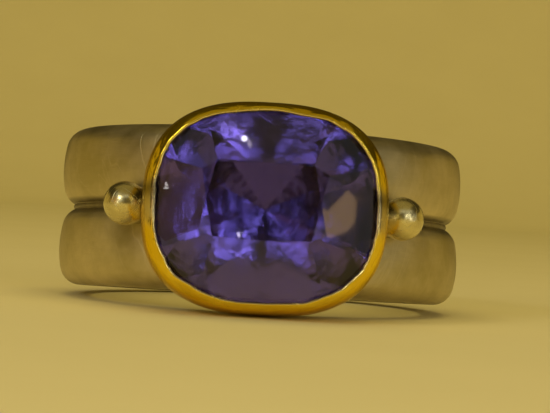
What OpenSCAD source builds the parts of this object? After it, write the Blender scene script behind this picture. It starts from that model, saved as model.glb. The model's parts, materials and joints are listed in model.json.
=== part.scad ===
// A lady's ring: a cushion-cut violet-blue stone in a gold bezel, on a shank of two silver bands that are
// soldered side by side, with a silver grain in the groove at each end of the bezel.
//
// The ring lies on its side. Its finger hole opens upwards, along Z, and the stone faces -Y. The bezel is
// wider than the shank, so the ring leans back on the bezel's lower side and the far edge of the lower band.
// Lengths are in millimetres. Heights in the setting are measured from the finger hole's axis.

/* [Bands] */
// Diameter of the finger hole
finger_d = 17.3; // [16.5:0.1:17.6]
// Thickness of a band at its crest
band_t = 2.0; // [1.9:0.05:2.2]
// Width of each of the two bands
band_w = 4.1; // [3.9:0.05:4.2]
// Radius of the dome across a band
dome_r = 5.5; // [5:0.1:8]
// Radius of a band's two outer corners
corner_r = 1.1; // [1:0.05:1.2]
// Chamfer at the two ends of the finger hole
hole_chamfer = 0.2; // [0.1:0.05:0.3]
// Depth of the soldered seam below the crests
seam_depth = 0.78; // [0.7:0.02:0.9]

/* [Grains] */
// Diameter of the two silver grains
grain_d = 2.2; // [2.1:0.02:2.3]
// Distance of a grain's centre from the ring's middle
grain_x = 6.88; // [6.8:0.02:7]

/* [Bezel] */
// How far the bezel's base stands out past each end of the stone
margin_l = 0.55; // [0.52:0.01:0.58]
// How far it stands out past each side of the stone
margin_w = 0.48; // [0.46:0.01:0.52]
// Height of the bezel's rim
rim_h = 14.1; // [14:0.02:14.3]
// Thickness of the bezel's floor
floor_t = 0.5; // [0.4:0.05:0.7]
// Exponent of the cushion outline, where 2 is an ellipse
cushion_n = 2.6; // [2.5:0.05:2.7]

/* [Stone] */
// Length of the stone, around the finger
stone_l = 10.94; // [10.8:0.02:11]
// Width of the stone, along the finger
stone_w = 9.42; // [9.3:0.02:9.5]
// Height of the crown above the girdle
crown_h = 1.4; // [1.2:0.05:1.6]
// Thickness of the girdle
girdle_t = 0.2; // [0.15:0.01:0.24]
// Depth of the pavilion below the girdle
pavilion_h = 4.25; // [4:0.05:4.4]
// Length of the table
table_l = 5.44; // [5:0.05:6]
// Width of the table
table_w = 3.68; // [3.4:0.02:4]
// Shift of the table along the stone's length, as the cutter left it
table_dx = -0.15; // [-0.2:0.05:0.2]
// Shift of the table along the stone's width
table_dy = 0.2; // [-0.2:0.05:0.2]

/* [Hidden] */
$fn = 96;

// Clearance between the solids
gap = 0.03;
// How far every cutting tool runs past the metal
past = 1;

hole_r = finger_d / 2;
crest_r = hole_r + band_t;
// Distance of each band's middle from the seam, with the hairline that the solder fills
band_mid = band_w / 2 + 0.025;
shank_half = band_mid + band_w / 2;
// Centre of a band's corner arc, as an offset from the band's middle and a distance from the hole's axis
corner_off = band_w / 2 - corner_r;
corner_rad = crest_r - dome_r + sqrt(pow(dome_r - corner_r, 2) - pow(corner_off, 2));
// Half width of the solder that joins the bands
solder_half = 0.4;

// A grain rests on the inner corners of both bands
grain_rad = corner_rad + sqrt(pow(grain_d / 2 + corner_r, 2) - pow(band_mid - corner_off, 2));
grain_h = sqrt(pow(grain_rad, 2) - pow(grain_x, 2));

saddle_r = crest_r + gap;
// Height at which the bezel's wall starts, before its saddle is cut to the bands
base_h = 8.2;
// Heights of the girdle's upper edge, under the burnished rim, and of the culet
girdle_h = rim_h - 0.38;
seat_h = girdle_h - girdle_t;
culet_h = seat_h - pavilion_h;
bezel_l = stone_l + 2 * margin_l;
bezel_w = stone_w + 2 * margin_w;

// Outer and inner surface of the bezel, from its base up over the rim and down to its base again.
// Columns: inset, 0 on the base's outline and 1 on the stone's; height above the hole's axis.
bearing_inset = 1.85;
WALL = [
    [0.00, base_h],
    [0.00, rim_h - 3.2],
    [0.06, rim_h - 2.4],
    [0.15, rim_h - 1.6],
    [0.31, rim_h - 0.95],
    [0.52, rim_h - 0.50],
    [0.81, rim_h - 0.18],
    [1.04, rim_h - 0.04],
    [1.20, rim_h],
    [1.31, rim_h - 0.02],
    [1.40, rim_h - 0.08],
    [0.88, girdle_h + 0.05],
    [0.88, seat_h - 0.04],
    [bearing_inset, seat_h - 0.62],
    [bearing_inset, base_h]
];
RING_POINTS = 72;

// Outline of the bezel at an inset, and with a clearance around it
function bezel_outline(inset, clear = 0) =
    cushion(bezel_l / 2 - inset * margin_l + clear, bezel_w / 2 - inset * margin_w + clear);

// Points of a cushion outline, a superellipse of the given half length and half width
function cushion(a, b) = [
    for (i = [0 : RING_POINTS - 1])
        let (t = 360 * i / RING_POINTS)
            [a * power_of(cos(t), 2 / cushion_n), b * power_of(sin(t), 2 / cushion_n)]
];
function power_of(v, p) = sign(v) * pow(abs(v), p);

// Distance from the middle of a cushion outline to its tangent whose normal points along the azimuth
function reach(a, b, azimuth) =
    let (q = cushion_n / (cushion_n - 1))
        pow(pow(a * abs(cos(azimuth)), q) + pow(b * abs(sin(azimuth)), q), 1 / q);

// Facets of the stone. The girdle's upper edge is at z = 0 in its own frame, and z points out of the table.
// Each facet is an azimuth, an angle from the girdle plane, and a distance from the origin.
stone_a = stone_l / 2;
stone_b = stone_w / 2;
// Azimuths of the crown's eight mains, at the sides and at the corners
corner_az = 42;
MAINS = [0, corner_az, 90, 180 - corner_az, 180, 180 + corner_az, 270, 360 - corner_az];
// On the pavilion, the mains of the two long sides are split in halves that turn this far from their middle
side_split = 8;
PAVILION_MAINS = [
    for (m = MAINS)
        each m % 180 == 90 ? [m - side_split, m + side_split] : [m]
];
// Corners of the octagonal table, one on each main
table_x = table_l / 2;
table_y = table_w / 2;
TABLE = [
    for (m = MAINS)
        let (side = m % 90 == 0)
            [table_dx, table_dy] + (
                side ? [table_x * cos(m), table_y * sin(m)]
                     : [0.86 * table_x * sign(cos(m)), 0.955 * table_y * sign(sin(m))]
            )
];
// Angles of the crown's star and girdle facets, and how much steeper the pavilion's girdle facets are
star_angle = 14;
crown_break_angle = 37;
break_step = 3;
// Azimuths of the girdle facets: two between mains, and one between the halves of a split main
function breaks(mains) = [
    for (k = [0 : len(mains) - 1])
        let (from = mains[k], to = k < len(mains) - 1 ? mains[k + 1] : 360)
            for (s = to - from == 2 * side_split ? [1 / 2] : [1 / 3, 2 / 3]) from + s * (to - from)
];
function run(k) = reach(stone_a, stone_b, MAINS[k]) - TABLE[k] * [cos(MAINS[k]), sin(MAINS[k])];
function tangent_facet(azimuth, angle) = [azimuth, angle, reach(stone_a, stone_b, azimuth) * sin(angle)];
// A star facet holds the table's edge from one corner to the next
function star_facet(p, q) =
    let (azimuth = atan2(p[0] - q[0], q[1] - p[1]), edge = p * [cos(azimuth), sin(azimuth)])
        [azimuth, star_angle, edge * sin(star_angle) + crown_h * cos(star_angle)];
CROWN = concat(
    [for (k = [0 : 7]) tangent_facet(MAINS[k], atan2(crown_h, run(k)))],
    [for (m = breaks(MAINS)) tangent_facet(m, crown_break_angle)],
    [for (k = [0 : 7]) star_facet(TABLE[k], TABLE[(k + 1) % 8])]
);
function pavilion_angle(azimuth) = atan2(pavilion_h, reach(stone_a, stone_b, azimuth));
PAVILION = concat(
    [for (m = PAVILION_MAINS) tangent_facet(m, pavilion_angle(m))],
    [for (m = breaks(PAVILION_MAINS)) tangent_facet(m, pavilion_angle(m) + break_step)]
);

// Clearance of the culet in its countersink, and the countersink's angle from the girdle plane
seat_gap = 0.15;
seat_angle = pavilion_angle(corner_az) - 3;

// The ring leans back until the bezel's lower base corner and the lower band's outer corner arc are level
bezel_lever = bezel_w / 2 - shank_half + corner_r;
span = saddle_r + corner_rad;
rest_tilt = acos(corner_r / norm([bezel_lever, span])) - atan2(span, bezel_lever);
hole_z = bezel_w / 2 * cos(rest_tilt) - saddle_r * sin(rest_tilt);
// The ring's box reaches from the table to the back of the shank, and its middle is at y = 0
table_top = girdle_h + crown_h;
hole_y = (table_top - crest_r) / 2 * cos(rest_tilt);

module at_rest() {
    translate([0, hole_y, hole_z])
        rotate([-rest_tilt, 0, 0])
            children();
}

// Turns what is built upright, with its height along Z, so that it stands out of the ring along -Y
module on_front() {
    rotate([90, 0, 0])
        children();
}

// Section of one band, with its width along Y and its distance from the hole's axis along X
module band_section() {
    dome_x = crest_r - dome_r;
    square_from(hole_r, corner_rad, band_w / 2);
    for (s = [-1, 1])
        translate([corner_rad, s * corner_off])
            circle(corner_r);
    intersection() {
        translate([dome_x, 0])
            circle(dome_r);
        polygon([[dome_x, 0], for (s = [1, -1]) [2 * corner_rad - dome_x, 2 * s * corner_off]]);
    }
}

module square_from(inner, outer, half) {
    translate([inner, -half])
        square([outer - inner, 2 * half]);
}

module chamfer_section() {
    polygon([
        [hole_r - past, shank_half + past],
        [hole_r - past, shank_half - hole_chamfer - past],
        [hole_r + hole_chamfer + past, shank_half + past]
    ]);
}

module bands() {
    rotate_extrude()
        difference() {
            union() {
                for (s = [-1, 1])
                    translate([0, s * band_mid])
                        band_section();
                square_from(hole_r, crest_r - seam_depth, solder_half);
            }
            for (s = [0, 1])
                mirror([0, s])
                    chamfer_section();
        }
}

// The grain at the right end of the bezel, flattened where it meets the wall
module grain() {
    difference() {
        translate([grain_x, -grain_h, 0])
            sphere(d = grain_d);
        on_front()
            translate([0, 0, base_h - past])
                linear_extrude(rim_h - base_h)
                    polygon(bezel_outline(0, gap));
    }
}

// The setter's countersink in the bands and the bezel's floor, a little flatter than the pavilion
module culet_seat() {
    depth = saddle_r + floor_t - culet_h + 2 * seat_gap;
    on_front()
        translate([0, 0, culet_h - seat_gap])
            cylinder(h = depth, r1 = seat_gap, r2 = seat_gap + depth / tan(seat_angle));
}

module shank() {
    color("silver")
        at_rest()
            difference() {
                union() {
                    bands();
                    grain();
                    mirror([1, 0, 0])
                        grain();
                }
                culet_seat();
                cylinder(h = 4 * shank_half, r = hole_r, center = true);
            }
}

// A closed tube through cushion outlines, one for each row of the table, the last joined to the first
module loft(rows) {
    n = RING_POINTS;
    count = len(rows);
    points = [
        for (row = rows)
            for (p = bezel_outline(row[0])) [p[0], p[1], row[1]]
    ];
    faces = [
        for (r = [0 : count - 1])
            for (i = [0 : n - 1])
                let (up = (r + 1) % count, next = (i + 1) % n)
                    each [[r * n + i, up * n + i, r * n + next], [up * n + i, up * n + next, r * n + next]]
    ];
    polyhedron(points, faces);
}

// The curved plate inside the wall that closes the bezel over the bands
module bezel_floor() {
    intersection() {
        on_front()
            translate([0, 0, base_h])
                linear_extrude(girdle_h - base_h)
                    polygon(bezel_outline(bearing_inset / 2));
        cylinder(h = 2 * bezel_w, r = saddle_r + floor_t, center = true);
    }
}

module bezel() {
    color("goldenrod")
        at_rest()
            difference() {
                union() {
                    on_front()
                        loft(WALL);
                    bezel_floor();
                }
                cylinder(h = 2 * bezel_w, r = saddle_r, center = true);
                culet_seat();
            }
}

// Everything on the inner side of one facet
module inside_of(facet) {
    reach = 40;
    rotate([0, facet[1], facet[0]])
        translate([-reach, -reach, facet[2] - 2 * reach])
            cube(2 * reach);
}

module stone() {
    color("darkslateblue")
        at_rest()
            on_front()
                translate([0, 0, girdle_h])
                    intersection() {
                        translate([0, 0, culet_h - girdle_h])
                            linear_extrude(table_top - culet_h)
                                polygon(cushion(stone_a, stone_b));
                        intersection_for(facet = CROWN)
                            inside_of(facet);
                        translate([0, 0, -girdle_t])
                            mirror([0, 0, 1])
                                intersection_for(facet = PAVILION)
                                    inside_of(facet);
                    }
}

shank();
bezel();
stone();
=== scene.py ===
import json

import bpy
import numpy as np
from mathutils import Matrix, Vector
from mathutils.bvhtree import BVHTree


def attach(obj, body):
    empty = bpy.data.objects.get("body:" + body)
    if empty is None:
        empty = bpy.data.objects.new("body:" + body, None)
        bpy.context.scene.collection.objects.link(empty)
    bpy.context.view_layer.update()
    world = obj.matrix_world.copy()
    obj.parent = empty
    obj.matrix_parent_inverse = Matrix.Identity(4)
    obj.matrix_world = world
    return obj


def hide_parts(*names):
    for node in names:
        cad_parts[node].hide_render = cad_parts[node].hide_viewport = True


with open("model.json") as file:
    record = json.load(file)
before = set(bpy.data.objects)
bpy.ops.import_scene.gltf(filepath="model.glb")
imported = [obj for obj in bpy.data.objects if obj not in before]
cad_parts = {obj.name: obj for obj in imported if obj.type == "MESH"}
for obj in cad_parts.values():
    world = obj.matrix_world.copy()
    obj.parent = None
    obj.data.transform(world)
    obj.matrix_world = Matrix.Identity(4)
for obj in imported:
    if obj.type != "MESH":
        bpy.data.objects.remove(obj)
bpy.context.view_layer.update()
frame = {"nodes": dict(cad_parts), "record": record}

# Shank: two D-section silver bands from one length of wire, bent round, laid side by side and soldered along
# the groove between them. The outside is satin, the bore is worn smooth, and the groove is darkened with
# tarnish and with painted shade.
# Sizes are in millimetres, and angles in degrees.
finger_hole = frame["record"]["mounts"][0]
hole_r = finger_hole["dims"]["r_mm"]
hole_middle = np.array(finger_hole["pos_m"])
along_hole = np.array(finger_hole["axis"])
out_of_ring = np.array([0, -along_hole[2], along_hole[1]])
band_t = 2.0
band_w = 4.1
seam_half = 0.025
dome_r = 5.5
corner_r = 1.1
bore_edge_r = 0.2
groove_depth = 0.72
solder_half = 0.13
solder_rise = 0.05
meniscus_reach = 0.8
wear_depth = 0.05
ripple_depth = 0.012
pit_share = 0.05
tarnish_and_shade_half = 0.42
turn_steps = 720
band_mid = band_w / 2 + seam_half
shank_half = band_mid + band_w / 2
crest_r = hole_r + band_t
corner_off = band_w / 2 - corner_r
dome_middle = crest_r - dome_r
corner_middle = dome_middle + np.sqrt((dome_r - corner_r) ** 2 - corner_off**2)
solder_r = crest_r - groove_depth


def lay(x, v, h):
    """A point in metres. The ring leans back on its setting, and its pieces share one slanted frame in
    millimetres: the hole's middle, plus x along X, plus v along the hole's axis, plus h to where the stone
    faces."""
    x, v, h = (a[..., None] for a in np.broadcast_arrays(x, v, h))
    slanted = x * np.array([1, 0, 0]) + v * along_hole + h * out_of_ring
    return hole_middle + slanted / 1000


def arc(r, v, radius, start, stop, count):
    """Points (r, v) of a section: the arc's middle plus its radius times cosine and sine, at even angles."""
    angle = np.radians(np.linspace(start, stop, count))
    return np.stack([r + radius * np.cos(angle), v + radius * np.sin(angle)], 1)


def straight(r0, v0, r1, v1, count):
    """Evenly spaced points (r, v) from one end to the other, without the ends themselves."""
    share = np.linspace(0, 1, count + 2)[1:-1, None]
    return (1 - share) * np.array([r0, v0]) + share * np.array([r1, v1])


def double_band_section():
    """Half the section runs from the solder in the groove over the crest, down the side and along the bore,
    and the other half is its mirror image. The solder's surface is a low cosine hump between the corners. The
    whole is taken backwards, so that the faces point outwards."""
    tangent = np.degrees(np.arcsin(corner_off / (dome_r - corner_r)))
    solder_angle = np.degrees(np.arcsin((band_mid - corner_off - solder_half) / corner_r))
    solder_v = np.linspace(0, meniscus_reach * solder_half, 4)
    edge = hole_r + bore_edge_r
    half = np.concatenate([
        np.stack([solder_r + solder_rise * np.cos(solder_v / solder_half * np.pi / 2), solder_v], 1),
        arc(corner_middle, band_mid - corner_off, corner_r, -solder_angle, -tangent, count=14),
        arc(dome_middle, band_mid, dome_r, -tangent, tangent, count=18)[1:],
        arc(corner_middle, band_mid + corner_off, corner_r, tangent, 90, count=14)[1:],
        straight(corner_middle, shank_half, edge, shank_half, count=4),
        arc(edge, shank_half - bore_edge_r, bore_edge_r, 90, 180, count=5),
        straight(hole_r, shank_half - bore_edge_r, hole_r, 0, count=6),
    ])
    other = half[:0:-1] * np.array([1, -1])
    return np.concatenate([half, other])[::-1]


def unevenness(angle, v, seed, coarse=3, fine=14, count=12, sway=0.16):
    """Between 0 and 1: a sum of sine waves that go a whole number of times round, each with its own slant
    along v, its own phase and a height that falls as its number rises."""
    draw = np.random.default_rng(seed)
    turns = draw.integers(coarse, fine, count)
    slant = draw.normal(0, sway, count) * turns
    phase = draw.uniform(0, 2 * np.pi, count)
    height = 1 / turns
    total = sum(k * np.sin(n * angle + s * v + p) for n, s, p, k in zip(turns, slant, phase, height))
    return 0.5 + 0.5 * total / height.sum()


def dents(angle, v, reach, seed, count, smallest, largest):
    """Depth of the small knocks of wear: round pits, each a bell curve of its distance, with a drawn place
    and width, and a depth that is the same share of every width."""
    draw = np.random.default_rng(seed)
    at = draw.uniform(-np.pi, np.pi, count)
    at_v = draw.uniform(-reach, reach, count)
    width = draw.uniform(smallest, largest, count)
    depth = 0 * (angle + v)
    for a, b, w in zip(at, at_v, width):
        round_the_ring = (angle - a + np.pi) % (2 * np.pi) - np.pi
        depth += pit_share * w * np.exp(-((round_the_ring * crest_r) ** 2 + (v - b) ** 2) / w**2)
    return depth


def skin(name, points, closed_rows=True, poles=(), **measures):
    """A mesh of four-sided faces over a grid of points. Its columns join up, its rows too where closed_rows
    is set, and each pole, of which the first is at the first row and the second at the last, closes an open
    end with a fan. Measures are kept as point attributes."""
    rows, columns = points.shape[:2]
    number = np.arange(rows * columns).reshape(rows, columns)
    right = np.roll(number, -1, 1)
    up, up_right = np.roll(number, -1, 0), np.roll(right, -1, 0)
    quads = np.stack([number, right, up_right, up], -1)
    if not closed_rows:
        quads = quads[:-1]
    corners = [quads.reshape(-1)]
    sizes = [np.full(quads.size // 4, 4)]
    places = [points.reshape(-1, 3)]
    for end, pole in enumerate(poles):
        rim = number[-end]
        beside = right[-end]
        tip = np.full(columns, rows * columns + end)
        fan = [tip, beside, rim] if end == 0 else [tip, rim, beside]
        corners.append(np.stack(fan, -1).reshape(-1))
        sizes.append(np.full(columns, 3))
        places.append(np.asarray(pole)[None])
    places = np.concatenate(places)
    corners = np.concatenate(corners)
    sizes = np.concatenate(sizes)
    mesh = bpy.data.meshes.new(name)
    mesh.vertices.add(len(places))
    mesh.vertices.foreach_set("co", places.astype(np.float32).ravel())
    mesh.loops.add(len(corners))
    mesh.loops.foreach_set("vertex_index", corners.astype(np.int32))
    mesh.polygons.add(len(sizes))
    mesh.polygons.foreach_set("loop_start", np.concatenate([[0], np.cumsum(sizes)[:-1]]).astype(np.int32))
    mesh.polygons.foreach_set("use_smooth", np.ones(len(sizes), bool))
    mesh.update(calc_edges=True)
    for measure, values in measures.items():
        kept = np.concatenate([np.ravel(values), np.zeros(len(places) - rows * columns)])
        mesh.attributes.new(measure, "FLOAT", "POINT").data.foreach_set("value", kept.astype(np.float32))
    piece = bpy.data.objects.new(name, mesh)
    bpy.context.scene.collection.objects.link(piece)
    return piece


# The stone's point needs a countersink, which the setter cuts through the bezel's floor and into the bands on
# the side under the stone.
culet_h = 9.27
seat_gap = 0.15
seat_angle = 34.4
seat_slope = np.tan(np.radians(seat_angle))


def countersink_h(x, v):
    """Height of the setter's cone over the culet: level over the tip, then rising with the distance."""
    return culet_h - seat_gap + seat_slope * np.maximum(np.hypot(x, v) - seat_gap, 0)


section = double_band_section()
turn = np.linspace(-np.pi, np.pi, turn_steps, endpoint=False)[:, None]
section_r, section_v = section[None, :, 0], section[None, :, 1]
outside = np.clip((section_r - hole_r) / band_t, 0, 1)
worn_off = wear_depth * unevenness(turn, section_v, seed=4)
worn_off = worn_off + ripple_depth * unevenness(turn, section_v, seed=9, coarse=20, fine=60, count=16)
worn_off = worn_off + dents(turn, section_v, shank_half, seed=21, count=90, smallest=0.12, largest=0.5)
band_r = section_r - outside * worn_off
band_x, band_h = band_r * np.sin(turn), band_r * np.cos(turn)
band_h = np.minimum(band_h, np.where(band_h > 0, countersink_h(band_x, section_v), band_h))
# Where the groove's tarnish and painted shade go: near 1 across the groove, falling off to the sides
groove = np.exp(-((section_v / tarnish_and_shade_half) ** 4)) * outside + 0 * turn
bands = skin("bands", lay(band_x, section_v, band_h), groove=groove)


def feed(tree, socket, value):
    """Links a socket to the one that is given, or sets it to a plain value."""
    if isinstance(value, bpy.types.NodeSocket):
        tree.links.new(value, socket)
    else:
        socket.default_value = value


def wire(tree, kind, settings=(), **inputs):
    """A new node with its settings, and with each input, named in small letters, set or linked."""
    node = tree.nodes.new(kind)
    for setting, value in dict(settings).items():
        setattr(node, setting, value)
    for name, value in inputs.items():
        wanted = name.replace("_", " ").lower()
        feed(tree, next(s for s in node.inputs if s.name.lower() == wanted and s.enabled), value)
    return node


def calculate(tree, operation, *values, kind="ShaderNodeMath"):
    """The result of a Math or Vector Math node on the given values or sockets."""
    node = wire(tree, kind, {"operation": operation})
    for socket, value in zip(node.inputs, values):
        feed(tree, socket, value)
    return next(s for s in node.outputs if s.enabled)


def on_vectors(tree, operation, *values):
    """The result of a Vector Math node."""
    return calculate(tree, operation, *values, kind="ShaderNodeVectorMath")


def some_of(tree, mask, amount, base):
    """The base, plus an amount times the mask."""
    return calculate(tree, "MULTIPLY_ADD", mask, amount, base)


def spread(tree, value, low, high, to_low=0.0, to_high=1.0):
    """A value stretched from one range to another, and held inside it."""
    return wire(tree, "ShaderNodeMapRange", value=value, from_min=low, from_max=high,
                to_min=to_low, to_max=to_high).outputs["Result"]


def blend_colours(tree, share, first, second):
    """A mix of two colours or sockets, by a share from 0 to 1."""
    node = tree.nodes.new("ShaderNodeMix")
    node.data_type = "RGBA"
    for socket, value in ((node.inputs[0], share), (node.inputs[6], first), (node.inputs[7], second)):
        feed(tree, socket, value)
    return node.outputs[2]


def noise(tree, vector, scale, detail=3.0, roughness=0.55):
    """A noise texture's value."""
    return wire(tree, "ShaderNodeTexNoise", vector=vector, scale=scale, detail=detail,
                roughness=roughness).outputs[0]


def measured(tree, name):
    """A measure that a piece's mesh keeps at its points."""
    return wire(tree, "ShaderNodeAttribute", {"attribute_name": name}).outputs["Fac"]


def ring_coordinates(tree):
    """Object coordinates in millimetres, shifted and turned so that Z runs along the finger hole."""
    lean = float(np.arctan2(along_hole[1], along_hole[2]))
    coordinates = tree.nodes.new("ShaderNodeTexCoord").outputs["Object"]
    shifted = on_vectors(tree, "SUBTRACT", coordinates, finger_hole["pos_m"])
    turned = wire(tree, "ShaderNodeVectorRotate", {"rotation_type": "X_AXIS"}, vector=shifted, angle=lean)
    return on_vectors(tree, "MULTIPLY", turned.outputs[0], (1000, 1000, 1000))


def group_with(name, inputs, outputs):
    """An empty shader group with named inputs, each with its first value, and named outputs."""
    group = bpy.data.node_groups.new(name, "ShaderNodeTree")
    for label, value in inputs.items():
        socket = group.interface.new_socket(label, in_out="INPUT", socket_type="NodeSocketFloat")
        socket.default_value = value
    for label in outputs:
        group.interface.new_socket(label, in_out="OUTPUT", socket_type="NodeSocketFloat")
    return group, group.nodes.new("NodeGroupInput").outputs, group.nodes.new("NodeGroupOutput").inputs


# What a bench leaves on metal: lines of a fine abrasive round the ring, stray scratches across them, and a
# cloudy change of tone where fingers and polish have been.
hand_finish, given, made = group_with(
    "hand_finish", {"Lines": 9.0, "Clouds": 0.5, "Scratches": 1.6}, ["Line Height", "Cloud", "Scratch"])
slow_along_a_line = 0.12
scratch_turn = (0.5, 0.9, 0.3)
scratch_stretch = (0.05, 1.0, 0.25)
scratch_half = 0.012
place = ring_coordinates(hand_finish)
x, y, z = wire(hand_finish, "ShaderNodeSeparateXYZ", vector=place).outputs
level_place = wire(hand_finish, "ShaderNodeCombineXYZ", x=x, y=y).outputs[0]
from_axis = on_vectors(hand_finish, "LENGTH", level_place)
drawn_out = wire(
    hand_finish, "ShaderNodeCombineXYZ",
    x=some_of(hand_finish, x, slow_along_a_line, from_axis),
    y=calculate(hand_finish, "MULTIPLY", y, slow_along_a_line),
    z=z).outputs[0]
bent = wire(hand_finish, "ShaderNodeVectorRotate", {"rotation_type": "EULER_XYZ"}, vector=place,
            rotation=scratch_turn).outputs[0]
stretched = on_vectors(hand_finish, "MULTIPLY", bent, scratch_stretch)
stray = noise(hand_finish, stretched, given["Scratches"], detail=2.0, roughness=0.5)
from_stray = calculate(hand_finish, "ABSOLUTE", calculate(hand_finish, "SUBTRACT", stray, 0.5))
scratch = spread(hand_finish, from_stray, 0.0, scratch_half, to_low=1.0, to_high=0.0)
line_height = noise(hand_finish, drawn_out, given["Lines"], detail=6.0, roughness=0.65)
cloud = noise(hand_finish, place, given["Clouds"], detail=4.0, roughness=0.6)
feed(hand_finish, made["Line Height"], line_height)
feed(hand_finish, made["Cloud"], cloud)
feed(hand_finish, made["Scratch"], scratch)


def finish_of(name, shader_values):
    """A new material with its nodes cleared, and its Principled shader with the given plain values."""
    material = bpy.data.materials.new(name)
    material.use_nodes = True
    tree = material.node_tree
    tree.nodes.clear()
    shader = wire(tree, "ShaderNodeBsdfPrincipled", **shader_values)
    feed(tree, tree.nodes.new("ShaderNodeOutputMaterial").inputs["Surface"], shader.outputs[0])
    return material, tree, shader


def worked(tree, **values):
    """The outputs of the hand finish group, placed in a material with its own values."""
    node = tree.nodes.new("ShaderNodeGroup")
    node.node_tree = hand_finish
    for label, value in values.items():
        node.inputs[label].default_value = value
    return node.outputs


def clouded(tree, marks, shade, light, low=0.35, high=0.68):
    """A tone that goes from shade to light as the cloud rises from its low to its high value."""
    return blend_colours(tree, spread(tree, marks["Cloud"], low, high), shade, light)


def rubbed(tree, marks, smooth, rough, low=0.3, high=0.7):
    """A roughness that goes from smooth to rough as the cloud rises from its low to its high value."""
    return spread(tree, marks["Cloud"], low, high, smooth, rough)


def raise_surface(tree, shader, height, distance):
    """Feeds a height to the shader's normal through a Bump node, with its distance in millimetres."""
    bump = wire(tree, "ShaderNodeBump", height=height, distance=distance / 1000, strength=1.0)
    feed(tree, shader.inputs["Normal"], bump.outputs[0])


satin_silver, tree, shader = finish_of("satin_silver", {"metallic": 1.0})
silver_light = (0.72, 0.63, 0.40, 1)
silver_shade = (0.49, 0.42, 0.22, 1)
# Dark colour for tarnish and for painted shade in the hollows
tarnish_and_shade = (0.10, 0.08, 0.055, 1)
marks = worked(tree, Lines=7.0, Clouds=0.32, Scratches=0.9)
tone = clouded(tree, marks, silver_shade, silver_light)
tone = blend_colours(tree, calculate(tree, "MULTIPLY", marks["Scratch"], 0.25), tone, silver_light)
seam = measured(tree, "groove")
patches = noise(tree, ring_coordinates(tree), scale=1.3, detail=4.0)
patchy = spread(tree, patches, 0.3, 0.6, to_low=0.75)
off_the_solder = spread(tree, seam, 0.975, 0.995, to_low=1.0, to_high=0.0)
# Painted shade with tarnish: a dark line along each side of the groove, in patches, leaving the solder light
dark_line = calculate(tree, "MULTIPLY", spread(tree, seam, 0.2, 0.8), patchy)
dark_line = calculate(tree, "MULTIPLY", dark_line, off_the_solder)
feed(tree, shader.inputs["Base Color"], blend_colours(tree, dark_line, tone, tarnish_and_shade))
lines = spread(tree, marks["Line Height"], 0.3, 0.7)
rub = some_of(tree, lines, 0.08, rubbed(tree, marks, smooth=0.36, rough=0.50))
feed(tree, shader.inputs["Roughness"], rub)
height = some_of(tree, marks["Scratch"], -0.5, marks["Line Height"])
raise_surface(tree, shader, height, distance=0.012)
bands.data.materials.append(satin_silver)
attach(bands, "root")
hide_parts("shank")

# Grains: two balls of melted silver, polished bright, each set in the groove against an end of the bezel. The
# solder that holds it runs down into the groove, and the side that meets the gold is flat.
grain_r = 1.1
grain_x = 6.88
grain_h = 9.1
grain_steps = 96
ball_start = 2
ball_end = 122
skirt_spread = 0.32
skirt_curve = 2.2
skirt_depth = 0.85
foot_depth = 1.5
lump_size = 0.02
lump_twist = 3
dull_and_shaded_from = 0.2
dull_and_shaded_over = 1.2
bezel_half = np.array([6.02, 5.188])
cushion_n = 2.6
clearance = 0.03


def cushion_reach(v, half):
    """Half length of a cushion outline at v off its middle line: its superellipse solved for x."""
    share = np.clip(np.abs(v) / half[1], 0, 1) ** cushion_n
    return half[0] * (1 - share) ** (1 / cushion_n)


def grain(name, side, seed):
    """A surface of revolution about the line from the ring's middle: a ball to well below its waist, then a
    concave skirt of solder. Points past the bezel's wall are held at the wall. The right one is a mirror
    image, so its columns are taken backwards to keep the faces outwards."""
    ball = np.radians(np.linspace(ball_start, ball_end, 46))
    skirt = np.linspace(0, 1, 14)[1:]
    away = np.concatenate([
        grain_r * np.sin(ball), grain_r * np.sin(ball[-1]) + skirt_spread * skirt**skirt_curve])
    up = np.concatenate([grain_r * np.cos(ball), grain_r * np.cos(ball[-1]) - skirt_depth * skirt])
    round_it = np.linspace(0, 2 * np.pi, grain_steps, endpoint=False)[None, :]
    lumps = 1 - lump_size * unevenness(round_it, lump_twist * up[:, None], seed, coarse=2, fine=5)
    across = away[:, None] * np.cos(round_it) * lumps
    along = away[:, None] * np.sin(round_it) * lumps
    up = up[:, None] * lumps
    outwards = np.array([grain_x, grain_h]) / np.hypot(grain_x, grain_h)
    x = grain_x + up * outwards[0] + across * outwards[1]
    h = grain_h + up * outwards[1] - across * outwards[0]
    x = np.maximum(x, cushion_reach(along, bezel_half + clearance))
    points = lay(side * x, along, h)
    # How far below the waist: it darkens the foot with painted shade and tarnish, and makes it rougher
    depth = np.clip((dull_and_shaded_from - up) / dull_and_shaded_over, 0, 1)
    tip = lay(side * (grain_x + grain_r * outwards[0]), 0, grain_h + grain_r * outwards[1])
    foot = lay(side * (grain_x - foot_depth * outwards[0]), 0, grain_h - foot_depth * outwards[1])
    if side > 0:
        points, depth = points[:, ::-1], depth[:, ::-1]
    return skin(name, points, closed_rows=False, poles=(tip, foot), depth=depth)


bright_silver, tree, shader = finish_of("bright_silver", {
    "metallic": 1.0, "coat_weight": 0.3, "coat_roughness": 0.12})
grain_shade = (0.64, 0.56, 0.30, 1)
grain_light = (0.88, 0.80, 0.44, 1)
marks = worked(tree, Lines=5.0, Clouds=1.1, Scratches=2.0)
low = measured(tree, "depth")
tone = clouded(tree, marks, grain_shade, grain_light, high=0.7)
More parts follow.
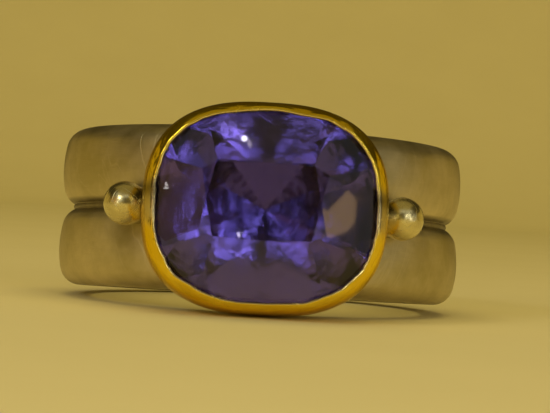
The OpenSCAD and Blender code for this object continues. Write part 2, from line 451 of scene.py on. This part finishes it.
# Painted shade with tarnish towards the foot, where the ball sits down in the groove
tone = blend_colours(tree, spread(tree, low, 0.5, 1.0, to_high=0.8), tone, tarnish_and_shade)
feed(tree, shader.inputs["Base Color"], tone)
rub = some_of(tree, marks["Scratch"], 0.08, rubbed(tree, marks, smooth=0.22, rough=0.30))
feed(tree, shader.inputs["Roughness"], some_of(tree, low, 0.25, rub))
height = some_of(tree, marks["Scratch"], -0.3, marks["Cloud"])
raise_surface(tree, shader, height, distance=0.02)
for name, side, seed in (("grain_left", -1, 31), ("grain_right", 1, 32)):
    ball = grain(name, side, seed)
    ball.data.materials.append(bright_silver)
    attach(ball, "root")
    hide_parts("shank")

# Bezel: a strip of high-carat gold bent to the stone's cushion outline, sawn at its foot to sit on the bands,
# with a bearing inside. The setter pushed its thin top edge over the stone by hand with a burnisher.
stone_half = np.array([5.47, 4.71])
rim_h = 14.1
base_wall_h = rim_h - 3.2
girdle_h = rim_h - 0.38
bearing_h = girdle_h - 0.2
bearing_inset = 1.85
floor_t = 0.5
saddle_r = crest_r + clearance
floor_r = saddle_r + floor_t
push_from_h = rim_h - 1.5
push_rise = 1.4
stroke_twist = 8
stroke_depth = 0.34
hand_depth = 0.26
crest_dip = 0.06
lip_from = 1.16
lip_fade = 0.08
# Columns: inset, 0 on the foot's outline and 1 on the stone's; height above the hole's axis
over_the_rim = np.array([
    [0.00, base_wall_h],
    [0.07, rim_h - 2.4],
    [0.15, rim_h - 1.6],
    [0.31, rim_h - 0.95],
    [0.52, rim_h - 0.50],
    [0.81, rim_h - 0.18],
    [1.04, rim_h - 0.04],
    [1.20, rim_h],
    [1.31, rim_h - 0.02],
    [1.40, rim_h - 0.08],
])
under_the_rim = np.array([
    [0.88, girdle_h + 0.05],
    [0.88, bearing_h - 0.04],
    [bearing_inset, bearing_h - 0.62],
])
around_steps = 480
around = np.linspace(0, 2 * np.pi, around_steps, endpoint=False)[None, :]


def through(rows, steps):
    """A smooth line through a table's rows: on each stretch, a cubic whose ends follow the rows before and
    after it."""
    ends = np.concatenate([[2 * rows[0] - rows[1]], rows, [2 * rows[-1] - rows[-2]]])
    before, start, stop, after = (ends[k:len(ends) - 3 + k, None] for k in range(4))
    t = np.linspace(0, 1, steps, endpoint=False)[None, :, None]
    line = start + 0.5 * t * (stop - before + t * (
        2 * before - 5 * start + 4 * stop - after + t * (3 * (start - stop) + after - before)))
    return np.concatenate([line.reshape(-1, 2), rows[-1:]])


def cushion(inset):
    """Outline of the bezel at an inset: a superellipse, by the signed powers of cosine and sine, with half
    sizes that go from the foot's to the stone's as the inset goes from 0 to 1."""
    half_x, half_v = (foot - inset * (foot - top) for foot, top in zip(bezel_half, stone_half))
    x = half_x * np.sign(np.cos(around)) * np.abs(np.cos(around)) ** (2 / cushion_n)
    v = half_v * np.sign(np.sin(around)) * np.abs(np.sin(around)) ** (2 / cushion_n)
    return x, v


def on_cylinder(radius, x):
    """Height over the points x of a cylinder round the finger hole: the root of radius squared less x
    squared."""
    return np.sqrt(radius**2 - x**2)


wall = np.concatenate([through(over_the_rim, steps=5), under_the_rim])
wall_inset, wall_h = wall[:, :1], wall[:, 1:]
pushed = np.clip((wall_h - push_from_h) / push_rise, 0, 1) * (wall_inset < bearing_inset)
stroke = unevenness(around, stroke_twist * pushed, seed=12, coarse=9, fine=46, count=18) - 0.5
hand = unevenness(around, 0 * pushed, seed=15, coarse=3, fine=12, count=10) - 0.5
dip = unevenness(around, 0 * pushed, seed=18, coarse=5, fine=30, count=14)
wall_x, wall_v = cushion(wall_inset + pushed**2 * (stroke_depth * stroke + hand_depth * hand))
foot_x, foot_v = cushion(0)
inner_x, inner_v = cushion(bearing_inset)
foot_share = np.linspace(0, 1, 12, endpoint=False)[:, None]
foot_h = (1 - foot_share) * on_cylinder(saddle_r, foot_x) + foot_share * base_wall_h


def plate(radius):
    """A face of the bezel's floor: points between the inner wall and the countersink, on a cylinder."""
    share = np.linspace(1, 0, 8)[:, None]
    sink = seat_gap + (radius - culet_h) / seat_slope
    x = share * inner_x + (1 - share) * sink * np.cos(around)
    v = share * inner_v + (1 - share) * sink * np.sin(around)
    return x, v, on_cylinder(radius, x)


top_x, top_v, top_h = plate(floor_r)
under_x, under_v, under_h = (a[::-1] for a in plate(saddle_r))
last_share = np.linspace(0, 1, 5)[1:-1, None]
last_x = (1 - last_share) * inner_x + last_share * foot_x
last_v = (1 - last_share) * inner_v + last_share * foot_v
bezel_x = np.concatenate([foot_x + 0 * foot_share, wall_x, top_x, under_x, last_x])
bezel_v = np.concatenate([foot_v + 0 * foot_share, wall_v, top_v, under_v, last_v])
bezel_h = np.concatenate([
    foot_h, wall_h - pushed**3 * crest_dip * dip, top_h, under_h, on_cylinder(saddle_r, last_x)])

# Beside each grain the gold is painted silver, as solder run up from the grain and as the grain's reflection
# in the wall, and painted darker on its upper side as the reflection of the grain's dark side.
solder_from_x = 4
solder_from_h = 8.5
solder_half_v = 1.0
stain_v = 0.6
stain_half_v = 0.45
outer_rows = np.arange(len(bezel_h))[:, None] < len(foot_share) + len(wall) - len(under_the_rim)
at_a_grain = outer_rows * (np.abs(bezel_x) > solder_from_x) * (bezel_h > solder_from_h)
solder = at_a_grain * np.exp(-((bezel_v / solder_half_v) ** 4))
stain = at_a_grain * np.exp(-(((bezel_v - stain_v) / stain_half_v) ** 2))
# The crest and the lip inside it, where the gold is painted paler as a highlight
lip_highlight = np.clip((wall_inset - lip_from) / lip_fade, 0, 1) * (pushed > 0)
edge = np.zeros(bezel_h.shape)
edge[len(foot_share):len(foot_share) + len(wall)] = lip_highlight
bezel = skin("gold_bezel", lay(bezel_x, bezel_v, bezel_h), solder=solder, stain=stain, edge=edge)

burnished_gold, tree, shader = finish_of("burnished_gold", {
    "metallic": 1.0, "specular_tint": (1.0, 0.85, 0.4, 1)})
gold_light = (1.0, 0.76, 0.06, 1)
gold_shade = (0.87, 0.61, 0.03, 1)
# Pale gold painted on the burnished crest as a highlight
crest_highlight_colour = (1.0, 0.84, 0.42, 1)
# Silver painted beside each grain, as solder and as its reflection; the dark one is a painted reflection
# above
silver_solder = (0.64, 0.56, 0.36, 1)
solder_stain = (0.22, 0.18, 0.09, 1)
marks = worked(tree, Lines=3.2, Clouds=0.45, Scratches=1.3)
crest_highlight = measured(tree, "edge")
blotches = noise(tree, ring_coordinates(tree), scale=2.2, detail=4.0)
blotch = spread(tree, blotches, 0.3, 0.55, to_low=0.8)
tone = clouded(tree, marks, gold_shade, gold_light)
# Painted over the gold: a paler crest as a highlight, and beside each grain silver as solder and reflection,
# with a darker painted reflection above it
for mask, share, colour in (
        (crest_highlight, 0.8, crest_highlight_colour),
        (measured(tree, "solder"), blotch, silver_solder),
        (measured(tree, "stain"), blotch, solder_stain)):
    tone = blend_colours(tree, calculate(tree, "MULTIPLY", mask, share), tone, colour)
feed(tree, shader.inputs["Base Color"], tone)
rub = some_of(tree, crest_highlight, 0.04, rubbed(tree, marks, smooth=0.14, rough=0.24))
feed(tree, shader.inputs["Roughness"], some_of(tree, marks["Scratch"], 0.08, rub))
lines = calculate(tree, "MULTIPLY", marks["Line Height"], 0.6)
raise_surface(tree, shader, some_of(tree, marks["Scratch"], -0.3, lines), distance=0.02)
bezel.data.materials.append(burnished_gold)
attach(bezel, "root")
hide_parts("bezel")

# Stone: a cushion-cut tanzanite, violet with blue where the light passes one way and duller red-violet the
# other, cut and polished flat facet by facet. It sits in the bezel's bearing and stays the CAD solid.
tanzanite, tree, shader = finish_of("cut_tanzanite", {
    "metallic": 0.0, "ior": 1.69, "transmission_weight": 1.0, "specular_tint": (0.3, 0.3, 0.4, 1),
    "coat_weight": 0.45, "coat_roughness": 0.02, "coat_ior": 1.69})
violet = (0.82, 0.67, 1.0, 1)
blue_violet = (0.72, 0.69, 1.0, 1)
deep_violet = (0.42, 0.36, 0.80, 1)
polish = 0.13
absorption = 300.0
marks = worked(tree, Lines=2.0, Clouds=0.22, Scratches=1.2)
feed(tree, shader.inputs["Base Color"], clouded(tree, marks, violet, blue_violet, high=0.65))
feed(tree, shader.inputs["Roughness"], some_of(tree, marks["Scratch"], 0.04, polish))
height = noise(tree, ring_coordinates(tree), scale=0.7, detail=2.0)
raise_surface(tree, shader, height, distance=0.06)
absorbing = wire(tree, "ShaderNodeVolumeAbsorption", color=deep_violet, density=absorption)
output = next(n for n in tree.nodes if n.type == "OUTPUT_MATERIAL")
feed(tree, output.inputs["Volume"], absorbing.outputs[0])
stone = frame["nodes"]["stone"]
stone.data.materials.clear()
stone.data.materials.append(tanzanite)

# Studio: a round sheet of pale straw paper that curves up into a low wall all round, so that every view has
# the same plain ground. Before and behind the ring the wall keeps out of the polished surfaces, which show a
# dim room there. Sizes from here on are in metres.
sheet_flat = 0.36
sheet_bend = 0.16
sheet_wall = 0.05
straw_dark = (0.80, 0.745, 0.49, 1)
straw_pale = (0.82, 0.765, 0.51, 1)


def set_up(name, points, faces, material):
    """A thing of the studio, which isn't part of the ring: a smooth mesh from its points and faces."""
    mesh = bpy.data.meshes.new(name)
    mesh.from_pydata(np.reshape(points, (-1, 3)).tolist(), [], faces)
    mesh.polygons.foreach_set("use_smooth", np.ones(len(mesh.polygons), bool))
    thing = bpy.data.objects.new(name, mesh)
    bpy.context.scene.collection.objects.link(thing)
    thing.data.materials.append(material)
    return thing


def turned_sheet(across, heights, start, stop):
    """Points and faces of a surface of revolution about Z, a row to each distance from the middle with its
    height, and a column to each degree from start to stop."""
    turn = np.radians(np.linspace(start, stop, stop - start + 1))[None, :]
    across, heights = across[:, None], heights[:, None]
    points = np.stack([across * np.cos(turn), across * np.sin(turn), heights + 0 * turn], -1)
    number = np.arange(points.size // 3).reshape(points.shape[:2])
    faces = np.stack([number[:-1, :-1], number[1:, :-1], number[1:, 1:], number[:-1, 1:]], -1)
    return points, faces.reshape(-1, 4).tolist()


straw_paper, tree, shader = finish_of("straw_paper", {"roughness": 0.9})
fibre = noise(tree, tree.nodes.new("ShaderNodeTexCoord").outputs["Object"], scale=60.0)
straw = blend_colours(tree, spread(tree, fibre, 0.3, 0.7), straw_dark, straw_pale)
feed(tree, shader.inputs["Base Color"], straw)
flat_circle, _ = turned_sheet(np.array([sheet_flat]), np.zeros(1), 0, 359)
set_up("paper", flat_circle, [list(range(360))], straw_paper)
bend = np.linspace(0, np.pi / 2, 24)
wall_r = np.concatenate([sheet_flat + sheet_bend * np.sin(bend), [sheet_flat + sheet_bend]])
wall_z = np.concatenate([sheet_bend * (1 - np.cos(bend)), [sheet_bend + sheet_wall]])
# Columns: name, degrees from X where it starts and stops, whether polished surfaces show it
for name, start, stop, shown in (
        ("paper_right", 0, 55, True),
        ("paper_behind", 55, 125, False),
        ("paper_left", 125, 180, True),
        ("paper_before", 180, 360, False)):
    sheet = set_up(name, *turned_sheet(wall_r, wall_z, start, stop), straw_paper)
    sheet.visible_glossy = sheet.visible_transmission = shown

# Camera: it looks down the stone's axis from about 12 cm, and is turned a little, as in the photograph. It
# stands above the paper, because the ring lies on its side.
photo_middle = (275, 206.5)
camera_back = 0.11998
camera_at = np.array([-0.00223, hole_middle[1] - camera_back, 0.00633])
yaw, pitch, roll = np.radians((1.43, -0.50, 3.35))
forward = np.array([np.sin(yaw) * np.cos(pitch), np.cos(yaw) * np.cos(pitch), np.sin(pitch)])
level = np.cross(forward, (0, 0, 1))
level /= np.linalg.norm(level)
upright = np.cross(level, forward)
sideways = level * np.cos(roll) + upright * np.sin(roll)
upwards = upright * np.cos(roll) - level * np.sin(roll)
view = bpy.data.cameras.new("view")
view.sensor_width = 36.0
view.lens = 146.32
view.clip_start = 0.01
view.clip_end = 5.0
camera = bpy.data.objects.new("camera", view)
turned = np.stack([sideways, upwards, -forward], 1)
camera.matrix_world = Matrix([*(Vector((*row, at)) for row, at in zip(turned, camera_at)), (0, 0, 0, 1)])
bpy.context.scene.collection.objects.link(camera)
bpy.context.scene.camera = camera

# Light: lamps round the camera, placed as the stone sees them. Strips and low lights make its four blue
# lobes, glows and dim panels light the facets between, and small bright lamps make the glints on grains and
# rim. A warm sheet overhead fills in, and two broad lamps that only the paper shows make the ground pale.
stone_middle = lay(0, 0, rim_h)
warm = (1.0, 0.76, 0.24)
amber = (1.0, 0.56, 0.18)
daylight = (1.0, 0.95, 0.80)
room_light = 0.05


def towards(azimuth, elevation, distance):
    """A point seen from the stone: degrees right of the camera's side, degrees up, and metres away."""
    a, e = np.radians((azimuth, elevation))
    return stone_middle + distance * np.array([np.sin(a) * np.cos(e), -np.cos(a) * np.cos(e), np.sin(e)])


def lamp(name, place, aim, size, radiance, colour, shape="RECTANGLE", on_paper_only=False):
    """An area light that faces its aim. Its power is four times its area times its radiance."""
    light = bpy.data.lights.new(name, "AREA")
    light.shape = shape
    light.size, light.size_y = size
    light.energy = 4 * size[0] * size[1] * radiance * (np.pi / 4 if shape == "ELLIPSE" else 1)
    light.color = colour
    holder = bpy.data.objects.new(name, light)
    holder.location = place
    holder.rotation_euler = (Vector(place) - Vector(aim)).to_track_quat("Z", "Y").to_euler()
    holder.visible_camera = False
    holder.visible_glossy = holder.visible_transmission = not on_paper_only
    bpy.context.scene.collection.objects.link(holder)


# Columns: name; degrees right of the camera's side, degrees up and metres away, seen from the stone; width
# and height; radiance; colour; shape
for name, azimuth, elevation, distance, size, radiance, colour, shape in (
        ("right_strip", 21.5, 14.5, 0.30, (0.026, 0.040), 7.6, daylight, "RECTANGLE"),
        ("left_strip", -22.0, 14.5, 0.30, (0.026, 0.040), 1.9, daylight, "RECTANGLE"),
        ("upper_glow", 23.3, 23.3, 0.29, (0.012, 0.012), 5.0, daylight, "ELLIPSE"),
        ("corner_glow", 38, 21, 0.29, (0.05, 0.05), 2.0, daylight, "ELLIPSE"),
        ("left_corner_panel", -57, 40, 0.33, (0.12, 0.10), 0.18, daylight, "RECTANGLE"),
        ("right_corner_panel", 55, 40, 0.33, (0.12, 0.10), 0.18, daylight, "RECTANGLE"),
        ("left_low_light", -42, 4, 0.30, (0.034, 0.075), 2.3, daylight, "RECTANGLE"),
        ("right_low_light", 44, 4, 0.30, (0.048, 0.075), 2.3, daylight, "RECTANGLE"),
        ("lower_grain_light", 17, 2, 0.30, (0.006, 0.006), 28.0, daylight, "ELLIPSE"),
        ("upper_grain_light", 17, 9, 0.30, (0.006, 0.006), 14.0, daylight, "ELLIPSE"),
        ("rim_glint", -37, 30, 0.30, (0.08, 0.06), 6.0, daylight, "ELLIPSE"),
        ("high_panel", 4, 42, 0.33, (0.46, 0.07), 0.40, daylight, "RECTANGLE"),
        ("left_panel", -58, 12, 0.32, (0.14, 0.15), 0.35, amber, "RECTANGLE"),
        ("right_panel", 68, 12, 0.32, (0.16, 0.15), 0.22, daylight, "RECTANGLE")):
    lamp(name, towards(azimuth, elevation, distance), stone_middle, size, radiance, colour, shape)
# Columns: name; where it is and what it faces; width and height; radiance; whether only the paper shows it
for name, place, aim, size, radiance, on_paper_only in (
        ("overhead", (0, -0.08, 0.34), (0, -0.08, 0), (0.5, 0.42), 0.16, False),
        ("ceiling", (0, 0.05, 0.9), (0, 0.05, 0), (0.8, 0.8), 1.25, True),
        ("front_wash", (0, -0.34, 0.12), (0, 0, 0), (0.60, 0.16), 0.9, True)):
    lamp(name, place, aim, size, radiance, warm, on_paper_only=on_paper_only)
world = bpy.data.worlds.new("room")
bpy.context.scene.world = world
world.use_nodes = True
room = world.node_tree.nodes["Background"].inputs
room["Color"].default_value = (*warm, 1)
room["Strength"].default_value = room_light
bpy.context.scene.view_settings.view_transform = "Standard"

# Mirror images in the stone: tiny bright lamps, whose images are the white sparks, and a small amber card to
# the right, whose image lies on the right main facet. Each is put where a facet mirrors it to its pixel.
upper_spark = (244.5, 139.0)
upper_spark_tail = (249.8, 144.8)
lower_spark = (239.1, 234.3)
edge_spark = (166.2, 186.0)
spark_distance = 0.28
card_middle = (342, 215)
card_outline = [(348, 190), (357, 200), (355, 224), (345, 233), (317, 243), (322, 209), (327.5, 211)]
card_distance = 0.2
card_colour = (1.0, 0.64, 0.28, 1)
card_strength = 4.0
pixels_per_unit = view.lens / view.sensor_width * 2 * photo_middle[0]
stone_surface = BVHTree.FromPolygons(
    [v.co for v in stone.data.vertices], [tuple(p.vertices) for p in stone.data.polygons])


def sight(pixel):
    """The direction from the camera to a pixel of the photograph."""
    right, down = (np.array(pixel) - photo_middle) / pixels_per_unit
    line = forward + right * sideways - down * upwards
    return line / np.linalg.norm(line)


def facet_at(pixel):
    """The facet of the stone that a pixel shows: a point on it, and the direction that it faces."""
    place, normal = stone_surface.ray_cast(Vector(camera_at), Vector(sight(pixel)))[:2]
    return np.array(place), np.array(normal)


def seen_in(facet, pixel, distance):
    """The place whose mirror image falls on a pixel: the line of sight goes to the facet's plane, turns back
    as from a mirror, and goes on for a distance."""
    place, normal = facet
    line = sight(pixel)
    meets = camera_at + line * ((place - camera_at) @ normal) / (line @ normal)
    return meets + distance * (line - 2 * (line @ normal) * normal)


# Columns: pixel, width and height, radiance
for pixel, size, radiance in (
        (upper_spark, (0.0009, 0.0005), 90),
        (upper_spark_tail, (0.0004, 0.0006), 25),
        (lower_spark, (0.0005, 0.0008), 30),
        (edge_spark, (0.0004, 0.0011), 30)):
    spark_at = seen_in(facet_at(pixel), pixel, spark_distance)
    lamp("spark", spark_at, stone_middle, size, radiance, daylight, shape="ELLIPSE")
amber_glow, tree, shader = finish_of("amber_glow", {
    "base_color": (0, 0, 0, 1), "emission_color": card_colour, "emission_strength": card_strength})
card_facet = facet_at(card_middle)
card_corners = [seen_in(card_facet, pixel, card_distance) for pixel in card_outline]
card = set_up("card", card_corners, [list(range(len(card_outline)))], amber_glow)
card.visible_camera = False
